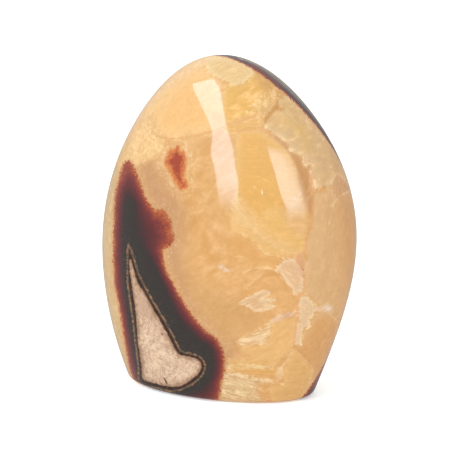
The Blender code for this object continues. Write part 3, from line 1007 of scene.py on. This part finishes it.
# A pale room, bright overhead, with two upright light panels. Their edges run from foot to top as azimuth
# from the camera's and elevation, both in degrees. Their light fades out at the foot, to the right and at
# the top, over these shares of the panel.
lights = {
    "backdrop": 1.0,  # brightness, as the next two
    "overhead": 1.25,
    "sides": 0.5,
    "distance": 5000.0,  # mm from the middle of the stone
    "columns": 13,  # points across a panel
    "glow": (0.75, 0.93, 1.14),  # the panels are a cooler white than the room
    "left": {
        "leftEdge": [
            (-35, 5), (-40, 18), (-45, 25), (-46, 31), (-51, 35), (-58, 38), (-72, 42), (-92, 45),
        ],
        "rightEdge": [
            (-26, 5), (-26, 17), (-28, 23), (-30.5, 30), (-37, 38), (-43, 46), (-54, 55), (-74, 59),
        ],
        "radiance": 7.4, "fadeFoot": 0.15, "fadeRight": 0.0, "fadeTop": 0.0,
    },
    "right": {
        "leftEdge": [(9, 4), (7.5, 10), (4.5, 15.5), (2.5, 21), (1, 27), (-0.5, 32), (-2, 38)],
        "rightEdge": [(34, 4), (34.5, 10), (34.5, 17), (33.5, 23), (32, 29), (29, 34), (25, 39)],
        "radiance": 6.8, "fadeFoot": 0.3, "fadeRight": 0.7, "fadeTop": 0.15,
    },
}


# smooth step from 0 to 1
def ease(share):
    share = np.clip(share, 0, 1)
    return share * share * (3 - 2 * share)


# a panel is ruled between its two edges; its glow is the radiance times its fades
def lightPanel(name):
    panel = lights[name]
    first, last = smoothCurve(panel["leftEdge"], False), smoothCurve(panel["rightEdge"], False)
    across = np.linspace(0, 1, lights["columns"])[None, :]
    upwards = np.linspace(0, 1, len(first))[:, None]
    azimuth = np.radians(first[:, :1] * (1 - across) + last[:, :1] * across + viewPoint["azimuth"])
    elevation = np.radians(first[:, 1:] * (1 - across) + last[:, 1:] * across)
    towards = np.stack([np.sin(azimuth) * np.cos(elevation), -np.cos(azimuth) * np.cos(elevation),
                        np.sin(elevation)], axis=-1)
    glow = panel["radiance"] * ease(upwards / panel["fadeFoot"]) * np.ones_like(across)
    if panel["fadeRight"]:
        glow = glow * ease((1 - across) / panel["fadeRight"])
    if panel["fadeTop"]:
        glow = glow * ease((1 - upwards) / panel["fadeTop"])
    index = np.arange(towards[..., 0].size).reshape(towards.shape[:2])
    quads = np.stack([index[:-1, :-1], index[:-1, 1:], index[1:, 1:], index[1:, :-1]], axis=-1).reshape(-1, 4)
    mesh = bpy.data.meshes.new(name + "_light")
    corners = (middle + towards * lights["distance"]) * mm
    mesh.from_pydata(corners.reshape(-1, 3).tolist(), [], quads.tolist())
    mesh.attributes.new("glow", "FLOAT", "POINT").data.foreach_set("value", glow.ravel().astype(np.float32))
    material = bpy.data.materials.new(name + "_light")
    material.use_nodes = True
    material.node_tree.nodes.clear()
    start = Wire(material.node_tree)
    light = measured(start, "glow").brighten(lights["glow"])
    lamp = start.node("ShaderNodeEmission", {}, {"Color": light, "Strength": 1.0})
    start.node("ShaderNodeOutputMaterial", {}, {"Surface": lamp})
    mesh.materials.append(material)
    made = bpy.data.objects.new(name + "_light", mesh)
    bpy.context.scene.collection.objects.link(made)
    made.visible_camera = False
    made.visible_shadow = False


# brightness rises from the sides to overhead; the backdrop behind the stone shows plain white
def makeSky():
    world = bpy.data.worlds.new("studio")
    world.use_nodes = True
    start = Wire(world.node_tree)
    direction = start.node("ShaderNodeTexCoord", {}, {})
    apart = start.node("ShaderNodeSeparateXYZ", {}, {"Vector": direction}, output=2)
    room = apart.rise(0.0, 0.9) * (lights["overhead"] - lights["sides"]) + lights["sides"]
    behind = start.node("ShaderNodeLightPath", {}, {})
    light = (behind * lights["backdrop"] + (1 - behind) * room).brighten((1.0, 1.0, 1.0))
    background = world.node_tree.nodes["Background"]
    world.node_tree.links.new(light.socket, background.inputs["Color"])
    background.inputs["Strength"].default_value = 1.0
    bpy.context.scene.world = world


makeFloor()
lightPanel("left")
lightPanel("right")
makeSky()
bpy.context.scene.view_settings.view_transform = "Standard"
print("studio set up")
